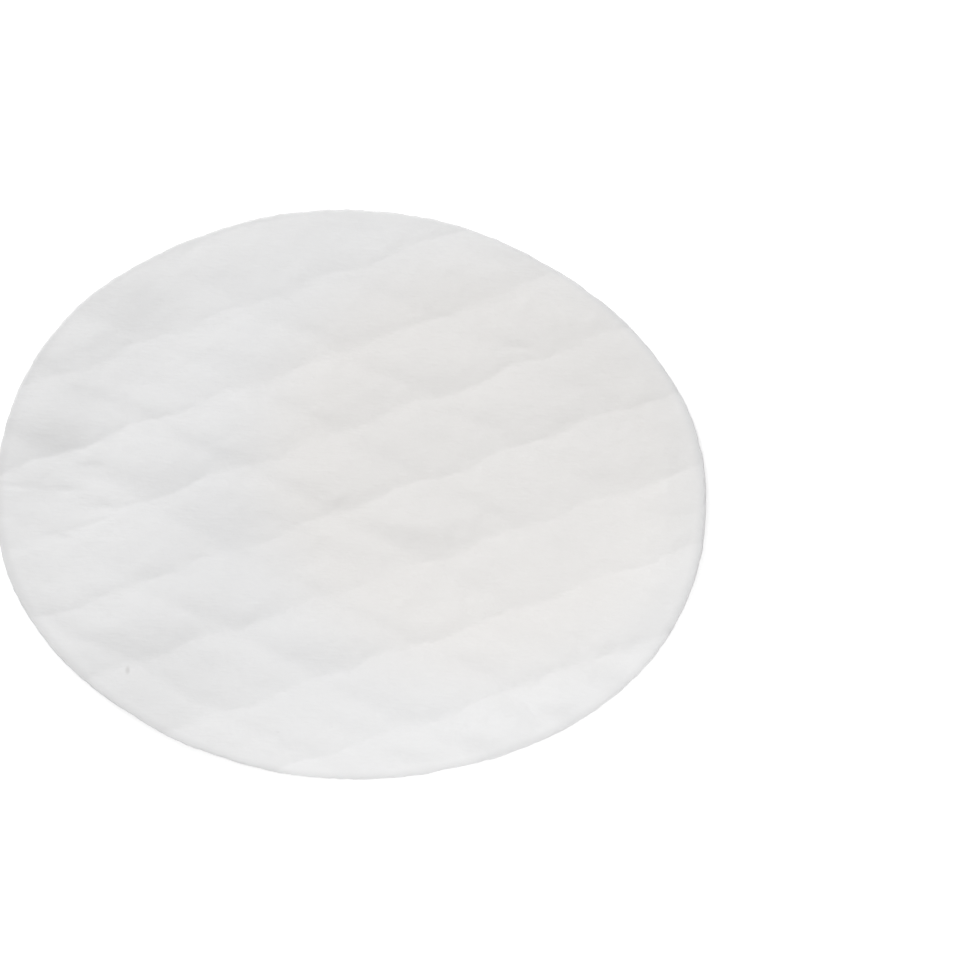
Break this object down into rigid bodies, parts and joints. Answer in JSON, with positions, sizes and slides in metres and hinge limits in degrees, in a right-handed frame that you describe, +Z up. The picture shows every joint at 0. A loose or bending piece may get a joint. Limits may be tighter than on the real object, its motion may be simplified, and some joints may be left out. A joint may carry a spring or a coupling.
{
  "type": "cotton pad",
  "caption": "Large oval cotton pad, quilted in a pattern of rhombs on its upper face and smooth below, for cleansing and wiping.",
  "frame": {"origin": "on the surface that the pad rests on, below the middle of its length and width", "axes": "+X along the pad's length, +Y along its width, +Z up, out of the quilted face"},
  "size_m": [0.0944, 0.0758, 0.0031],
  "materials": {
    "cotton": "matte white cotton fleece, pressed and quilted"
  },
  "bodies": {
    "root": {"cotton_pad": "cotton"}
  },
  "joints": []
}
